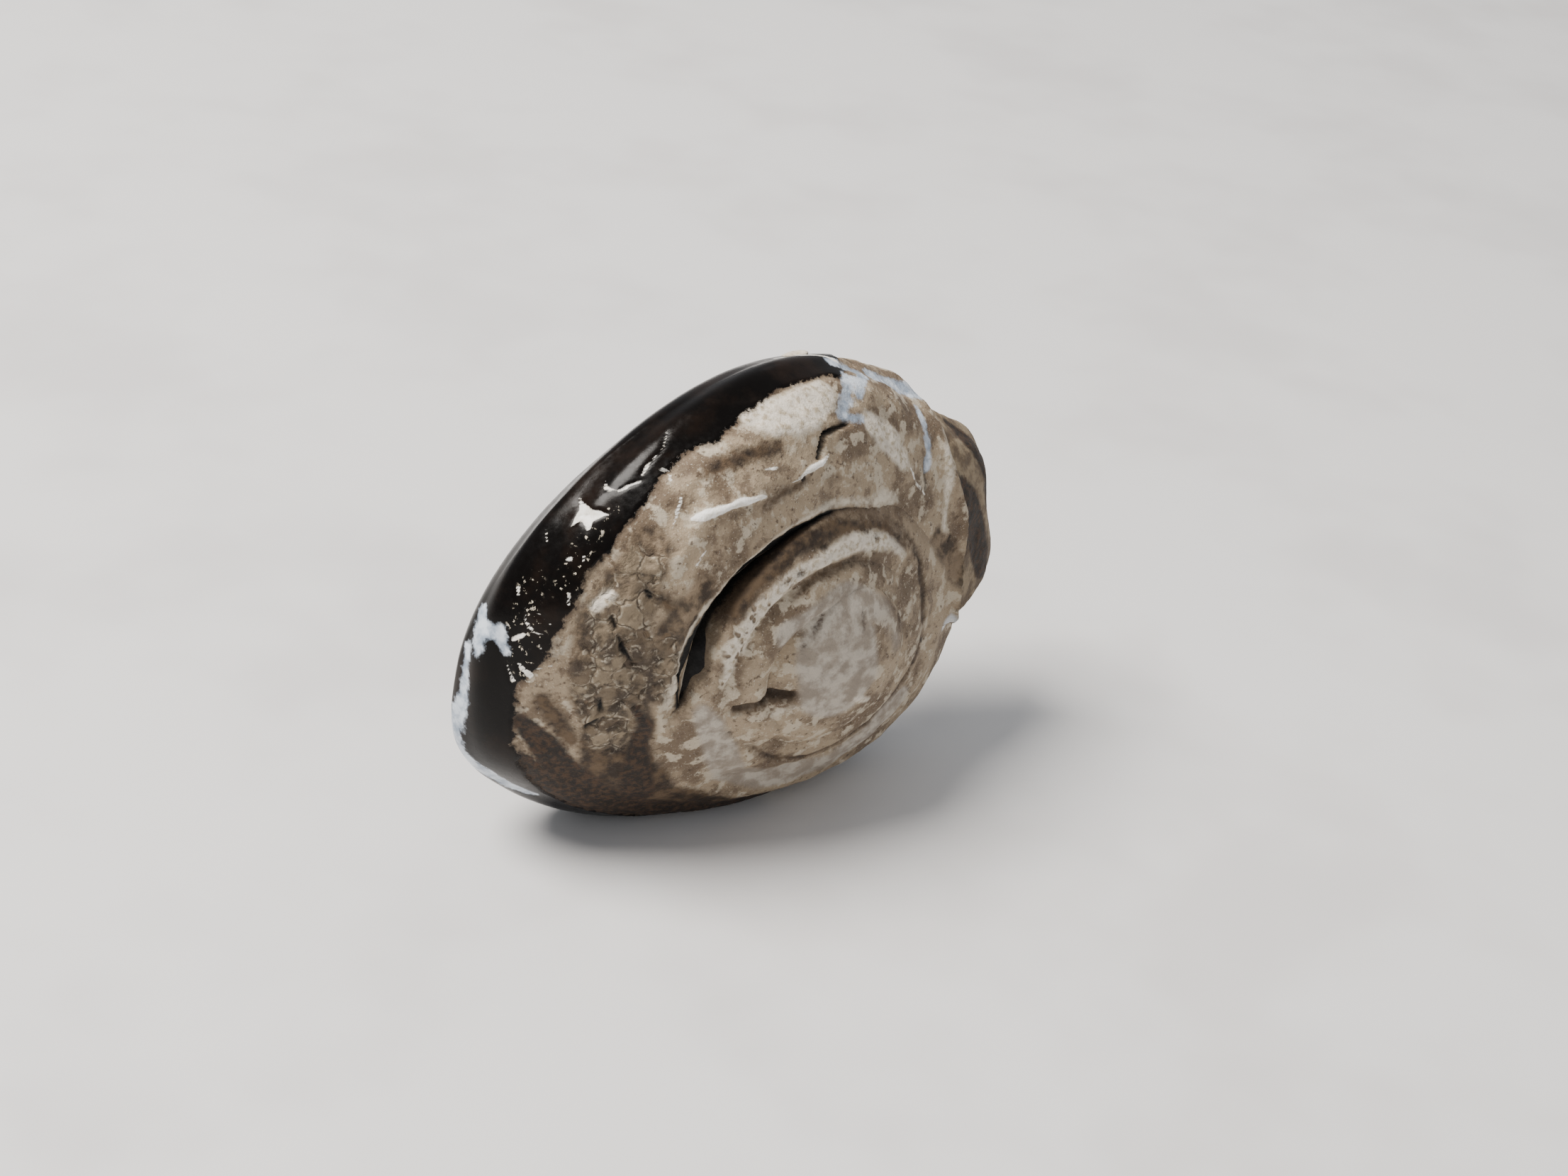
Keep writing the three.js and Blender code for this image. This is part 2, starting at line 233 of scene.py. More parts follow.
# Wear and painted shade by kind. Each mark is a path of (turn, angle in degrees, reach in mm) on the whorls,
# and a depth.
wearAndShade = {
    "white": [  # lime laid bare where the dark layer has flaked off, scraped ridges, and painted glints on the glossy black layer
        (((-0.360, 8, 0.02), (-0.363, 20, 0.30), (-0.373, 20, 0.03)), -0.1),
        (((-0.355, 31, 0.02), (-0.363, 23, 0.34), (-0.369, 30, 0.02)), -0.1),
        (((-0.343, 9, 0.02), (-0.347, 18, 0.14), (-0.344, 25, 0.05), (-0.336, 28, 0.05),
          (-0.331, 30, 0.02)), -0.05),
        (((-0.304, 15, 0.05), (-0.310, 21, 0.07), (-0.321, 24, 0.06), (-0.324, 25, 0.1),
          (-0.329, 27, 0.03)), -0.05),
        (((-0.320, 31, 0.05), (-0.317, 35, 0.08), (-0.318, 39, 0.09), (-0.320, 41, 0.03)), -0.03),
        (((-0.312, 44, 0.05), (-0.313, 49, 0.04)), 0.02),
        (((-0.387, 31, 0.1), (-0.385, 33, 0.12)), -0.05),
        (((-0.380, 37, 0.08), (-0.382, 38, 0.08)), -0.05),
        (((-0.383, 8, 0.03), (-0.386, 13, 0.09)), -0.04),
        (((-0.413, 18, 0.1), (-0.416, 20, 0.1)), -0.05),
        (((-0.400, 43, 0.1), (-0.405, 45, 0.12)), -0.05),
        (((-0.419, 27, 0.03), (-0.425, 31, 0.08), (-0.427, 36, 0.09), (-0.427, 43, 0.03)), -0.03),
        (((-0.418, 33, 0.02), (-0.418, 38, 0.06), (-0.420, 44, 0.02)), -0.03),
        (((-0.432, 34, 0.12), (-0.437, 30, 0.16)), -0.05),
        (((-0.449, 38, 0.1), (-0.453, 44, 0.2)), -0.07),
        (((-0.452, 32, 0.05), (-0.460, 38, 0.13)), -0.07),
        (((-0.433, 44, 0.07), (-0.437, 47, 0.06)), -0.04),
        (((-0.448, 46, 0.05), (-0.442, 52, 0.05)), -0.04),
        (((-0.324, 62, 0.05), (-0.316, 65, 0.26), (-0.300, 69, 0.22), (-0.288, 72, 0.2),
          (-0.272, 76, 0.05)), 0.14),
        (((-0.317, 47, 0.03), (-0.324, 53, 0.11), (-0.336, 59, 0.04)), 0.08),
        (((-0.342, 80, 0.06), (-0.330, 78, 0.05)), 0.05),
        (((-0.266, 63, 0.04), (-0.262, 64, 0.14), (-0.250, 66, 0.05)), 0.05),
        (((-0.211, 68, 0.06), (-0.219, 71, 0.18), (-0.228, 72, 0.16), (-0.240, 74, 0.07),
          (-0.250, 75, 0.03)), 0.12),
        (((-0.116, 64, 0.05), (-0.101, 68, 0.1), (-0.085, 69, 0.04)), 0.05),
        (((-0.216, -9, 0.08), (-0.202, 3, 0.09), (-0.186, 7, 0.09), (-0.177, 13, 0.08)), 0.0),
    ],
    "blue": [  # thin bluish worn lime
        (((-0.436, 4, 0.5), (-0.443, 10, 0.6), (-0.452, 14, 0.35)), -0.04),
        (((-0.440, 12, 0.5), (-0.438, 22, 0.45), (-0.444, 28, 0.3)), -0.04),
        (((-0.455, 4, 0.3), (-0.469, 8, 0.35), (-0.482, 11, 0.4), (-0.497, 7, 0.6), (-0.511, 0, 0.9),
          (-0.522, 3, 0.9),
          (-0.528, 12, 0.75), (-0.533, 20, 0.6), (-0.546, 24, 0.5), (-0.556, 30, 0.3)), -0.03),
        (((-0.186, 12, 0.3), (-0.170, 16, 0.4), (-0.163, 21, 0.35), (-0.172, 30, 0.4),
          (-0.175, 38, 0.3)), -0.03),
        (((-0.181, 26, 0.4), (-0.187, 40, 0.42), (-0.194, 49, 0.35), (-0.176, 51, 0.25)), -0.03),
        (((-0.152, 17, 0.45), (-0.131, 16, 0.6), (-0.107, 15, 0.55), (-0.094, 15, 0.4)), -0.03),
        (((-0.110, 32, 0.25), (-0.100, 48, 0.3), (-0.092, 58, 0.25)), 0.0),
    ],
    "dark": [  # painted shade, near black, in the deep cracks and pits
        (((-0.190, 53, 0.1), (-0.200, 55, 0.12), (-0.211, 57, 0.16), (-0.216, 63, 0.17),
          (-0.221, 68, 0.08)), -0.55),
        (((-0.410, 69, 0.06), (-0.420, 74, 0.14), (-0.429, 80, 0.05)), -0.3),
        (((-0.401, 63, 0.08), (-0.407, 67, 0.1)), -0.25),
        (((-0.461, 71, 0.08), (-0.473, 72, 0.14)), -0.25),
        (((-0.489, 67, 0.1), (-0.482, 71, 0.12)), -0.2),
        (((-0.376, 70, 0.1), (-0.379, 73, 0.1)), -0.2),
        (((-0.235, 75, 0.06), (-0.237, 76, 0.12)), -0.1),
        (((-0.170, 5, 0.06), (-0.163, 8, 0.07)), -0.03),
        (((-1.539, 87, 0.03), (-1.552, 101, 0.05)), -0.12),
        (((-0.030, 72, 0.05), (-0.026, 74, 0.07)), -0.1),
    ],
    "stain": [  # old dark stain, and what is left of the outer layer
        (((-0.485, 44, 0.5), (-0.500, 52, 0.9), (-0.525, 56, 1.0), (-0.548, 58, 0.9),
          (-0.57, 58, 0.9)), 0.0),
        (((-0.56, 46, 1.6), (-0.60, 50, 1.5), (-0.65, 52, 1.2), (-0.72, 50, 0.8)), 0.0),
        (((-0.466, 82, 0.15), (-0.490, 86, 0.45), (-0.520, 82, 0.6), (-0.55, 76, 0.9),
          (-0.585, 66, 1.0)), 0.0),
        (((-0.086, 17, 0.1), (-0.079, 33, 0.16), (-0.072, 46, 0.14), (-0.058, 56, 0.1)), -0.05),
        (((-0.062, 14, 0.4), (-0.050, 24, 0.8), (-0.032, 31, 0.9), (-0.012, 34, 0.9)), 0.0),
        (((-0.056, 52, 0.3), (-0.030, 54, 0.9), (0.0, 52, 1.2), (0.025, 50, 1.0)), 0.0),
        (((-0.015, 60, 0.5), (0.0, 63, 0.4)), 0.0),
        (((-0.515, 44, 0.8), (-0.535, 46, 0.9), (-0.552, 48, 0.9)), 0.0),
        (((-0.102, 52, 0.03), (-0.093, 60, 0.1), (-0.086, 67, 0.04)), -0.08),
        (((-1.145, 73, 0.16), (-1.141, 73, 0.16)), -0.15),
        (((-1.104, 72, 0.1), (-1.100, 72, 0.1)), -0.12),
        (((-1.232, 80, 0.18), (-1.228, 80, 0.18)), -0.15),
        (((-1.272, 93, 0.12), (-1.268, 93, 0.12)), -0.12),
    ],
    "brown": [  # rust-brown stain
        (((-0.448, 84, 0.3), (-0.47, 80, 0.9), (-0.50, 76, 1.9), (-0.54, 72, 2.2), (-0.60, 66, 1.7),
          (-0.68, 56, 1.2)), 0.0),
        (((-0.467, 51, 0.5), (-0.480, 56, 0.6), (-0.50, 62, 0.5)), 0.0),
        (((-1.355, 80, 0.5), (-1.320, 74, 0.7), (-1.267, 71, 0.7), (-1.201, 69, 0.6), (-1.132, 66, 0.5),
          (-1.09, 67, 0.3)), 0.0),
        (((-0.234, 76, 0.2), (-0.257, 79, 0.3), (-0.274, 81, 0.15)), -0.05),
        (((-0.387, 72, 0.4), (-0.376, 76, 0.4), (-0.378, 84, 0.3)), 0.0),
        (((-2.29, 68, 0.1), (-2.25, 60, 0.3), (-2.18, 54, 0.3), (-2.13, 52, 0.1)), -0.1),
        (((-2.494, 78, 0.35), (-2.494, 121, 0.3)), -0.4),
        (((-1.960, 52, 0.2), (-1.920, 58, 0.3), (-1.863, 68, 0.32), (-1.795, 73, 0.32),
          (-1.745, 70, 0.28),
          (-1.675, 82, 0.25), (-1.605, 98, 0.12)), -0.15),
        (((-1.124, 58, 0.16), (-1.090, 61, 0.22), (-1.054, 65, 0.25), (-1.014, 72, 0.25),
          (-0.977, 76, 0.25)), -0.12),
        (((-0.30, 48, 0.3), (-0.275, 52, 0.5), (-0.25, 57, 0.4)), 0.0),
    ],
    "taupe": [  # darker grey-brown patches
        (((-0.355, 58, 1.2), (-0.41, 66, 1.9), (-0.46, 74, 2.0), (-0.50, 80, 1.6)), 0.0),
        (((-0.35, 92, 0.8), (-0.40, 92, 1.2), (-0.45, 96, 1.0)), 0.0),
        (((-0.04, 78, 0.6), (0.01, 70, 0.9), (0.03, 62, 0.8)), 0.0),
    ],
    "cream": [  # clean chalk
        (((-0.262, 29, 0.6), (-0.246, 40, 1.2), (-0.225, 42, 1.3), (-0.206, 36, 0.9)), 0.04),
        (((-1.425, 106, 0.4), (-1.39, 101, 0.6), (-1.34, 97, 0.6), (-1.29, 92, 0.5),
          (-1.24, 88, 0.5)), 0.1),
        (((-1.24, 88, 0.5), (-1.183, 81, 0.55), (-1.145, 75, 0.5), (-1.108, 72, 0.35),
          (-1.08, 72, 0.2)), 0.15),
        (((-0.167, 52, 0.7), (-0.143, 58, 0.9), (-0.127, 63, 0.6)), 0.0),
        (((-0.087, 13, 0.16), (-0.087, 35, 0.22), (-0.080, 48, 0.22), (-0.070, 56, 0.24),
          (-0.060, 63, 0.24),
          (-0.042, 73, 0.2)), 0.05),
        (((-1.492, 112, 0.1), (-1.52, 116, 0.12), (-1.563, 120, 0.06)), 0.08),
        (((-0.40, 56, 0.3), (-0.39, 58, 0.3)), 0.0),
    ],
    "grey": [  # smooth grey callus
        (((-1.48, 84, 0.5), (-1.519, 86, 0.8), (-1.580, 81, 1.0), (-1.63, 66, 1.0)), 0.0),
        (((-0.64, 92, 0.8), (-0.70, 86, 1.0), (-0.78, 82, 1.0), (-0.88, 80, 1.0)), 0.0),
        (((-2.33, 100, 0.8), (-2.2, 92, 1.0), (-2.1, 90, 1.0), (-2.0, 92, 0.8)), 0.0),
    ],
    "flaky": [  # pitted, flaking lime
        (((-0.365, 62, 1.0), (-0.40, 68, 1.7), (-0.45, 74, 2.0), (-0.50, 76, 1.4)), 0.0),
        (((-0.41, 92, 0.8), (-0.45, 104, 0.9)), 0.0),
    ],
    "pitted": [  # honeycombed lime
        (((-1.43, 108, 0.5), (-1.39, 102, 0.8), (-1.34, 97, 0.7), (-1.29, 94, 0.4)), 0.0),
        (((-0.397, 74, 0.3), (-0.400, 81, 0.5), (-0.397, 88, 0.3)), 0.0),
        (((-0.465, 64, 0.4), (-0.471, 69, 0.3)), 0.0),
    ],
    "flecks": [  # crumbs of lime showing through the dark layer
        (((-0.405, 22, 0.5), (-0.430, 34, 1.0), (-0.452, 42, 0.7)), 0.0),
        (((-0.352, 30, 0.3), (-0.38, 34, 0.5), (-0.40, 40, 0.5)), 0.0),
    ],
    "nacre": [
        (((0.040, 73, 0.5), (0.048, 78, 0.6)), 0.0),
    ],
}
apexMarks = {  # the same on the apex, by (degrees round the axis, mm from it, reach in mm)
    "stain": [
        (((112, 3.7, 0.05), (105, 4.1, 0.1), (97, 4.4, 0.05)), -0.08),
        (((62, 4.0, 0.08), (57, 3.3, 0.06)), -0.08),
        (((32, 4.9, 0.05), (22, 5.0, 0.12), (12, 4.8, 0.05)), -0.08),
        (((122, 3.6, 0.1), (126, 3.5, 0.05)), -0.06),
    ],
    "brown": [(((178, 2.8, 0.3), (174, 4.0, 0.4), (176, 5.2, 0.3)), -0.5)],
    "cream": [(((-60, 2.0, 0.2), (-50, 3.3, 0.2)), 0.06), (((-167, 4.8, 0.08), (-166, 2.8, 0.12)), 0.12)],
    "grey": [(((0, 0.1, 2.6), (90, 2.0, 2.6)), 0.0)],
}
# The open crescent where the last whorl has come away from the one before: its width in mm by turn.
gap = {
    "turns": (-1.49, -1.465, -1.43, -1.39, -1.34, -1.29, -1.25, -1.21, -1.15),
    "widths": (0.0, 0.55, 0.95, 0.85, 0.75, 0.6, 0.35, 0.12, 0.0),
    "depth": 1.9, "sinkShare": 1.7, "slope": 0.9, "least": 0.02,
}
# Painted shade in the seam between whorls, as a share by turn: none where callus has closed it.
seam = {
    "turns": (-2.6, -2.0, -1.64, -1.60, -1.50, -1.47, -1.2, -1.05),
    "shares": (0.2, 0.25, 0.35, 0.0, 0.0, 0.9, 0.8, 0.5),
    "shadeReach": 0.4, "grooveDepth": 0.2, "grooveReach": 0.6, "grooveSlope": 0.5, "buriedUnder": 0.3,
}
# The pale edge of the last whorl along that seam, and the painted shade on the wall below it, in mm from the
# older whorl.
seamEdge = {
    "turns": (-0.5, -0.47, -0.12, -0.08), "shares": (0, 1, 1, 0), "reach": 0.1, "out": 0.1, "near": 1.5,
    "wallUnder": 0.1, "wallNear": 3, "fromTurn": -0.95, "fromDegrees": 60,
}
# Inner edge of the black layer: angle in degrees by turn.
blackEdge = {
    "turns": (-0.90, -0.75, -0.66, -0.60, -0.54, -0.508, -0.475, -0.462, -0.439, -0.399, -0.378,
              -0.346, -0.308, -0.286, -0.265, -0.243, -0.218, -0.186, -0.16),
    "angles": (20, 28, 34, 38, 40, 43, 40, 40, 50, 49, 45, 41, 33, 37, 32, 26, 24, 26, 5),
    "thickness": 0.1, "endTurn": -0.178, "softness": 3.0, "stepWidth": 0.08,
    "mmPerDegree": 0.16, "mmPerTurn": 90, "wander": 0.45, "wanderSize": 1.6, "wanderSeed": 5,
    "ripple": 0.012, "rippleSize": 2.2, "rippleSeed": 81,
}
# How a mark's outline wanders, how wide its field fades and how its relief slopes, in mm.
markEdge = {
    "wander": 0.07, "wanderSize": 0.9, "wanderSeeds": (11, 23, 37), "fade": 0.5,
    "slopeFrom": -0.12, "slopeShare": 0.8, "slopeMost": 0.25,
}
hollowDepths = (0.02, 0.3)  # mm below the grown surface where painted shade starts, and where it is full


# How far each point lies inside a mark's outline, in mm.
def insidePath(points, path, reaches):
    best = np.full(points.shape[:-1], -np.inf)
    for start, end, before, after in zip(path[:-1], path[1:], reaches[:-1], reaches[1:]):
        along = end - start
        share = np.clip((points - start) @ along / max(along @ along, 1e-9), 0, 1)
        away = np.linalg.norm(points - start - share[..., None] * along, axis=-1)
        best = np.maximum(best, before + share * (after - before) - away)
    return best


def onWhorl(path):
    turn, degrees, reaches = np.array(path).T
    return laid(outer(turn, np.radians(degrees))), reaches


def onApex(path):
    degrees, away, reaches = np.array(path).T
    return laid(cap(dome, np.radians(degrees), away)), reaches


placed = [(kind, *onWhorl(path), depth) for kind, marks in wearAndShade.items() for path, depth in marks]
placed += [(kind, *onApex(path), depth) for kind, marks in apexMarks.items() for path, depth in marks]
kinds = tuple(wearAndShade) + ("band", "strip", "hollow", "seamShade", "bright")


def spread(inside, width=markEdge["fade"]):
    return np.clip(0.5 + inside / (2 * width), 0, 1)


# Every kind's field at the points, and how far the marks sink or raise them.
def wearAndShadeFields(points):
    wander = [layered(points, markEdge["wanderSize"], seed, 2) for seed in markEdge["wanderSeeds"]]
    moved = points + np.stack(wander, -1) * markEdge["wander"]
    fields = {kind: np.zeros(points.shape[:-1]) for kind in kinds}
    sunk = np.zeros(points.shape[:-1])
    for kind, path, reaches, depth in placed:
        inside = insidePath(moved, path, reaches)
        fields[kind] = np.maximum(fields[kind], spread(inside))
        if depth:
            slopeTo = min(markEdge["slopeShare"] * reaches.max(), markEdge["slopeMost"])
            sunk += depth * smooth(inside, markEdge["slopeFrom"], slopeTo)
    return fields, sunk


# How far inside the black layer each point lies, in mm.
def blackField(turn, angle, points):
    degrees = np.degrees(np.arctan2(np.sin(angle), np.cos(angle)))
    edge = np.interp(turn, blackEdge["turns"], blackEdge["angles"])
    inside = (edge - degrees) * blackEdge["mmPerDegree"]
    inside = np.minimum(inside, (blackEdge["endTurn"] - turn) * blackEdge["mmPerTurn"])
    return inside + blackEdge["wander"] * layered(points, blackEdge["wanderSize"], blackEdge["wanderSeed"])


# Chalk is pitted and lumpy, and the flaking part is a pavement of small tilted plates with pits between.
decay = {
    "coarse": 0.06, "coarseSize": 1.4, "coarseSeed": 41, "fine": 0.03, "fineSize": 0.5, "fineSeed": 43,
    "wobble": 0.3, "wobbleSize": 0.7, "wobbleSeeds": (45, 46, 47),
    "plateSize": 1.3, "plateSeed": 51, "leanSeeds": (61, 62, 63), "heightSeed": 65,
    "plateHeight": 0.06, "plateLean": 0.13, "jointDepth": 0.08, "jointWidth": 0.14,
    "pitSize": 0.7, "pitSeed": 71, "pitDepth": 0.14, "pitReach": 0.26, "pitSlope": 0.2,
    "flakyFrom": 0.3, "flakyTo": 0.7, "apexShare": 0.6,
}


def erosion(points, bare, flaky):
    rough = decay["coarse"] * layered(points, decay["coarseSize"], decay["coarseSeed"])
    rough = rough + decay["fine"] * layered(points, decay["fineSize"], decay["fineSeed"], 2)
    wobble = np.stack([noise(points, decay["wobbleSize"], seed) for seed in decay["wobbleSeeds"]], -1)
    moved = points + decay["wobble"] * wobble
    nearest, second, chosen, span = strewn(moved, decay["plateSize"], decay["plateSeed"])
    lean = np.stack([hashed(chosen, seed) for seed in decay["leanSeeds"]], -1)
    plates = decay["plateHeight"] * hashed(chosen, decay["heightSeed"])
    plates = plates + decay["plateLean"] * np.sum(lean * span, -1)
    joint = decay["jointWidth"] - (second - nearest)
    plates -= decay["jointDepth"] * smooth(joint, 0, decay["jointWidth"])
    toPit = strewn(points, decay["pitSize"], decay["pitSeed"])[0]
    pits = -decay["pitDepth"] * smooth(decay["pitReach"] - toPit, 0, decay["pitSlope"])
    return bare * rough + flaky * (plates + pits)


# Distance to the nearest of the other points, and how far out past the surface there.
def nearestOf(points, others, outward):
    tree = mathutils.kdtree.KDTree(len(others))
    for number, other in enumerate(others):
        tree.insert(other, number)
    tree.balance()
    found = [tree.find(point) for point in points.reshape(-1, 3)]
    number = np.array([hit[1] for hit in found]).reshape(points.shape[:-1])
    away = np.array([hit[2] for hit in found]).reshape(points.shape[:-1])
    return away, np.sum((points - others[number]) * outward[number], -1)


# Normals of a grid of points, all facing away from a point in its core.
def outwardOf(grid, core):
    cross = np.cross(np.gradient(grid, axis=0), np.gradient(grid, axis=1))
    normals = cross / np.maximum(np.linalg.norm(cross, axis=-1, keepdims=True), 1e-12)
    return normals * np.sign(np.sum((grid - core) * normals, -1).mean())


patches = []


# Keeps a grid of points with its fields as a patch of the shell's surface.
def keep(grid, fields):
    patches.append((grid, {kind: fields.get(kind, np.zeros(grid.shape[:2])) for kind in kinds}))


# The last whorl, finer where it is looked at. Angles go round the section, in degrees.
body = {
    "start": -1.05, "coarseShare": 0.3, "coarseColumns": 45, "fineColumns": 341,
    "backAngles": (-180, -22), "backRows": 37, "frontAngles": (-22, 150), "frontRows": 146,
    "stripWidth": 0.014, "stripFade": (-0.4, 0.0), "stripEnd": 0.03,
    "everyOther": 2, "backSkipped": 40, "coversFrom": -0.93,
}
spire = {
    "start": -2.62, "columns": 250, "hiddenAngles": (-90, 15), "hiddenRows": 13, "seenAngles": (15, 150),
    "seenRows": 47, "coreHeight": -6.0, "skippedRows": 10,
    "youngerFrom": -1.75, "olderTo": -1.95, "far": 9.0,
}


# Two even runs of steps that meet, each with its own count.
def twoRuns(first, firstCount, second, secondCount):
    return np.concatenate([np.linspace(*first, firstCount + 1)[:-1], np.linspace(*second, secondCount)])


coarse, fine = (0, body["coarseShare"]), (body["coarseShare"], 1)
shares = twoRuns(coarse, body["coarseColumns"], fine, body["fineColumns"])
angles = np.radians(twoRuns(body["backAngles"], body["backRows"], body["frontAngles"], body["frontRows"]))
turn = body["start"] + shares[:, None] * (lipTurn(angles)[None, :] - body["start"])
angle = np.broadcast_to(angles[None, :], turn.shape)
base = laid(outer(turn, angle))
normals = outwardOf(base, laid(np.zeros(3)))
spireAngles = twoRuns(spire["hiddenAngles"], spire["hiddenRows"], spire["seenAngles"], spire["seenRows"])
spireTurn, spireAngle = np.meshgrid(np.linspace(spire["start"], body["start"], spire["columns"]),
                                    np.radians(spireAngles), indexing="ij")
spireBase = laid(outer(spireTurn, spireAngle))
spireNormals = outwardOf(spireBase, laid(np.array([0, 0, spire["coreHeight"]])))

fields, sunk = wearAndShadeFields(base)
black = blackField(turn, angle, base)
fields["band"] = spread(black, blackEdge["softness"] / 2)
past = turn - (lipTurn(angle) - rimBack(angle))
fields["strip"] = smooth(past, 0.0, body["stripWidth"]) * smooth(body["stripEnd"] - past, *body["stripFade"])
facing = (np.degrees(angle) > seamEdge["fromDegrees"]) & (turn > seamEdge["fromTurn"])
olderPoints = spireBase[:, spire["skippedRows"]:].reshape(-1, 3)
olderNormals = spireNormals[:, spire["skippedRows"]:].reshape(-1, 3)
seamAway, seamOut = nearestOf(base[facing], olderPoints, olderNormals)
pale = spread(seamEdge["reach"] - np.abs(seamOut - seamEdge["out"])) * (seamAway < seamEdge["near"])
fields["bright"][facing] = pale * np.interp(turn[facing], seamEdge["turns"], seamEdge["shares"])
# Painted shade on the wall of the last whorl just below the pale seam edge.
wall = spread(-seamOut - seamEdge["wallUnder"]) * (seamAway < seamEdge["wallNear"])
fields["dark"][facing] = np.maximum(fields["dark"][facing], wall)
layer = smooth(black, -blackEdge["stepWidth"], blackEdge["stepWidth"])
flaky = smooth(fields["flaky"], decay["flakyFrom"], decay["flakyTo"]) * (1 - layer)
rise = sunk + erosion(base, 1 - layer, flaky) + blackEdge["thickness"] * (layer - 1)
rise += blackEdge["ripple"] * layered(base, blackEdge["rippleSize"], blackEdge["rippleSeed"]) * layer
outside = base + rise[..., None] * normals
fields["hollow"] = smooth(-rise, *hollowDepths)
keep(outside, fields)
thinned = (slice(None, None, body["everyOther"]), slice(body["backSkipped"], None, body["everyOther"]))
covering = turn[thinned] > body["coversFrom"]
bodyPoints, bodyNormals = base[thinned][covering], normals[thinned][covering]
print("last whorl", outside.shape)

# Round the lip's edge and back into the mouth, where the lining closes.
mouth = {
    "wall": 0.95, "inTurns": 0.3, "edgeSteps": 7, "liningSteps": 20, "edgeBulge": 0.25, "lipReach": 16,
    "closing": (0.5, 1.0), "closedInset": 2.2, "brown": 0.35, "plainRings": 2,
}
lip = lipTurn(angles)
rings = [outside[-1]]
for step in range(1, mouth["edgeSteps"] + 1):
    bend = math.pi * step / mouth["edgeSteps"]
    inset = mouth["wall"] * (1 - math.cos(bend)) / 2
    ahead = mouth["edgeBulge"] * mouth["wall"] * math.sin(bend) / (fullTurn * mouth["lipReach"])
    raised = (rise[-1] + rimHeight(lip, angles)) * (1 - step / mouth["edgeSteps"]) - inset
    rings.append(laid(whorl(lip + ahead, angles, raised)))
for step in range(1, mouth["liningSteps"] + 1):
    back = step / mouth["liningSteps"]
    inset = mouth["wall"] + mouth["closedInset"] * smooth(back, *mouth["closing"])
    rings.append(laid(whorl(lip * (1 - back) - mouth["inTurns"] * back, angles, -inset)))
rings.append(np.broadcast_to(rings[-1].mean(0), rings[-1].shape))
lining = np.stack(rings)
inNacre = np.ones(lining.shape[:2])
inNacre[:mouth["plainRings"]] = 0
keep(lining, {"nacre": inNacre, "brown": np.full(lining.shape[:2], mouth["brown"])})
print("mouth", lining.shape)

# The older whorls of the spire, sunk where the gap opens and grooved along the seams.
turn, base, normals = spireTurn, spireBase, spireNormals
fields, sunk = wearAndShadeFields(base)
toBody, outBody = nearestOf(base, bodyPoints, bodyNormals)
outBody = np.sign(outBody) * toBody
younger = turn > spire["youngerFrom"]
toYounger, outYounger = nearestOf(base, base[younger], normals[younger])
crevice = np.minimum(toBody, np.where(turn < spire["olderTo"], toYounger, spire["far"]))
openBy = np.interp(turn, gap["turns"], gap["widths"])
within = 1.0 * (openBy > gap["least"])
sunk -= gap["depth"] * smooth(gap["sinkShare"] * openBy - outBody, 0, gap["slope"]) * within
# The open gap is painted near black as shade, and so is the older whorl where it lies buried under the
# younger one.
fields["dark"] = np.maximum(fields["dark"], spread(openBy - outBody) * within)
buried = spread(-outYounger - seam["buriedUnder"]) * (turn < spire["olderTo"])
fields["dark"] = np.maximum(fields["dark"], buried)
# Painted shade along the seam between whorls.
shareOfSeamShade = np.interp(turn, seam["turns"], seam["shares"])
fields["seamShade"] = spread(seam["shadeReach"] - crevice) * shareOfSeamShade
flaky = smooth(fields["flaky"], decay["flakyFrom"], decay["flakyTo"])
rise = sunk + erosion(base, np.ones(base.shape[:2]), flaky)
rise -= seam["grooveDepth"] * smooth(seam["grooveReach"] - crevice, 0, seam["grooveSlope"]) * shareOfSeamShade
fields["hollow"] = smooth(-rise, *hollowDepths)
keep(base + rise[..., None] * normals, fields)
print("spire", base.shape)

# The eroded apex and the callus over the navel.
caps = {
    "rows": (34, 16), "around": (110, 60), "middle": 0.01, "edgeShare": 0.999, "edgeFade": 0.4, "core": -7.0,
}
for form, rows, around in zip((dome, plug), caps["rows"], caps["around"]):
    away, bearing = np.meshgrid(np.linspace(caps["middle"], form["radius"] * caps["edgeShare"], rows),
                                np.linspace(0, fullTurn, around), indexing="ij")
    base = laid(cap(form, bearing, away))
    fields, sunk = wearAndShadeFields(base)
    rise = sunk + erosion(base, np.full(base.shape[:2], decay["apexShare"]), 0)
    rise *= smooth(form["radius"] - away, 0, caps["edgeFade"])
    rise[:, -1] = rise[:, 0]
    normals = outwardOf(base, laid(np.array([*coil["shift"], caps["core"]])))
    fields["hollow"] = smooth(-rise, *hollowDepths)
    keep(base + rise[..., None] * normals, fields)
print("apex and navel")

# A loose leaf of the outer layer that stands off the top.
leaf = {
    "turn": -0.2, "angle": math.radians(-9), "long": 0.75, "wide": 0.4, "thick": 0.22, "slope": 0.35,
    "steps": (18, 22), "cream": 0.6,
}
along, bearing = np.meshgrid(np.linspace(0, math.pi, leaf["steps"][0]),
                             np.linspace(0, fullTurn, leaf["steps"][1]), indexing="ij")
leafShape = np.stack([leaf["long"] * np.cos(along), leaf["wide"] * np.sin(along) * np.cos(bearing),
                      leaf["thick"] * np.sin(along) * np.sin(bearing)], -1)
leafShape[..., 2] += leaf["slope"] * leafShape[..., 0]
keep(leafShape + laid(outer(leaf["turn"], leaf["angle"])), {"cream": np.full(along.shape, leaf["cream"])})

